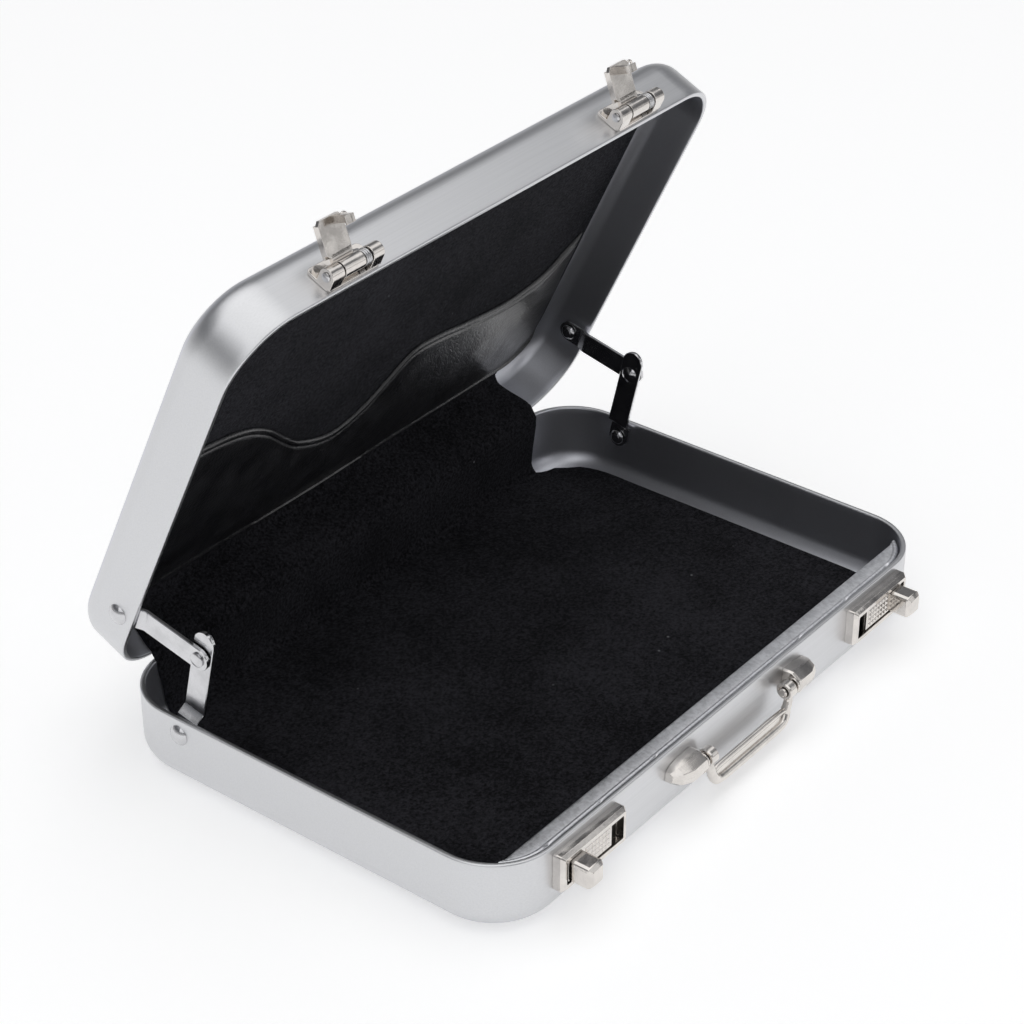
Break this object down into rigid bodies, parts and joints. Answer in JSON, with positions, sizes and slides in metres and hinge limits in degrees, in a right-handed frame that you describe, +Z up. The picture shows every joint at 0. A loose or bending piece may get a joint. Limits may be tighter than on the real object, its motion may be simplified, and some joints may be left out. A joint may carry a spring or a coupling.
{
  "type": "miniature attache case",
  "caption": "Miniature aluminium attaché case with a velvet-lined base, hinged lid on folding stays, sprung latches, hasps and a folding handle.",
  "frame": {"origin": "centre of the flat underside", "axes": "+X along the case towards the right-hand latch, -Y towards the handle, +Z up"},
  "size_m": [0.1014, 0.0797, 0.081],
  "materials": {
    "brushed_aluminium": "satin, brushed along the case",
    "rail_aluminium": "mill finish, fine grain",
    "black_velvet": "flocked velvet",
    "black_leatherette": "grained, semi-gloss",
    "nickel_plate": "bright nickel plate",
    "stay_steel": "plated, satin",
    "spring_steel": "drawn wire"
  },
  "bodies": {
    "base": {"base_shell": "brushed_aluminium", "base_lining": "black_velvet", "front_rail": "rail_aluminium", "latch_plate_left": "nickel_plate", "latch_plate_right": "nickel_plate", "latch_rivets": "nickel_plate", "latch_spring_left": "spring_steel", "latch_spring_right": "spring_steel", "handle_post_left": "nickel_plate", "handle_post_right": "nickel_plate", "handle_rivets": "nickel_plate", "base_rivet_left": "stay_steel", "base_rivet_right": "stay_steel"},
    "lid": {"lid_shell": "brushed_aluminium", "lid_lining": "black_velvet", "card_pocket": "black_leatherette", "lid_rivet_left": "stay_steel", "lid_rivet_right": "stay_steel", "hasp_mount_left": "nickel_plate", "hasp_mount_right": "nickel_plate", "hasp_pin_left": "nickel_plate", "hasp_pin_right": "nickel_plate", "hasp_spring_left": "spring_steel", "hasp_spring_right": "spring_steel", "hasp_rivets": "nickel_plate"},
    "latch_slider_left": {"latch_slider_left": "nickel_plate"},
    "latch_slider_right": {"latch_slider_right": "nickel_plate"},
    "handle": {"handle_bail": "nickel_plate"},
    "stay_lower_left": {"stay_lower_left": "stay_steel", "elbow_rivet_left": "stay_steel"},
    "stay_lower_right": {"stay_lower_right": "stay_steel", "elbow_rivet_right": "stay_steel"},
    "stay_upper_left": {"stay_upper_left": "stay_steel"},
    "stay_upper_right": {"stay_upper_right": "stay_steel"},
    "hasp_left": {"hasp_left": "nickel_plate"},
    "hasp_right": {"hasp_right": "nickel_plate"}
  },
  "joints": [
    {"name": "lid_hinge", "type": "hinge", "parent": "base", "child": "lid", "pos_m": [0, 0.03375, 0.0112], "axis": [-1, 0, 0], "range_deg": [-65, 35]},
    {"name": "stay_lower_left_pivot", "type": "hinge", "parent": "base", "child": "stay_lower_left", "pos_m": [-0.0485, 0.02125, 0.00845], "axis": [-1, 0, 0], "range_deg": [-65, 35]},
    {"name": "stay_upper_left_pivot", "type": "hinge", "parent": "lid", "child": "stay_upper_left", "pos_m": [-0.0485, 0.03096, 0.02369], "axis": [-1, 0, 0], "range_deg": [-35, 65]},
    {"name": "hasp_left_pivot", "type": "hinge", "parent": "lid", "child": "hasp_left", "pos_m": [-0.0295, 0.00596, 0.07482], "axis": [-1, 0, 0], "range_deg": [-135, 0], "stiffness_Nm_per_rad": 0.0003, "springref_deg": 17.19},
    {"name": "latch_left_slide", "type": "slide", "parent": "base", "child": "latch_slider_left", "axis": [1, 0, 0], "range_m": [0, 0.0012], "stiffness_N_per_m": 150, "springref_m": -0.001},
    {"name": "stay_lower_right_pivot", "type": "hinge", "parent": "base", "child": "stay_lower_right", "pos_m": [0.0485, 0.02125, 0.00845], "axis": [-1, 0, 0], "range_deg": [-65, 35]},
    {"name": "stay_upper_right_pivot", "type": "hinge", "parent": "lid", "child": "stay_upper_right", "pos_m": [0.0485, 0.03096, 0.02369], "axis": [-1, 0, 0], "range_deg": [-35, 65]},
    {"name": "hasp_right_pivot", "type": "hinge", "parent": "lid", "child": "hasp_right", "pos_m": [0.0295, 0.00596, 0.07482], "axis": [-1, 0, 0], "range_deg": [-135, 0], "stiffness_Nm_per_rad": 0.0003, "springref_deg": 17.19},
    {"name": "latch_right_slide", "type": "slide", "parent": "base", "child": "latch_slider_right", "axis": [-1, 0, 0], "range_m": [0, 0.0012], "stiffness_N_per_m": 150, "springref_m": -0.001},
    {"name": "handle_pivot", "type": "hinge", "parent": "base", "child": "handle", "pos_m": [0, -0.03565, 0.0074], "axis": [-1, 0, 0], "range_deg": [-4, 134]}
  ],
  "couplings": [
    {"joint": "stay_lower_left_pivot", "follows": "lid_hinge", "ratio": 1},
    {"joint": "stay_upper_left_pivot", "follows": "lid_hinge", "ratio": -1},
    {"joint": "stay_lower_right_pivot", "follows": "lid_hinge", "ratio": 1},
    {"joint": "stay_upper_right_pivot", "follows": "lid_hinge", "ratio": -1}
  ]
}
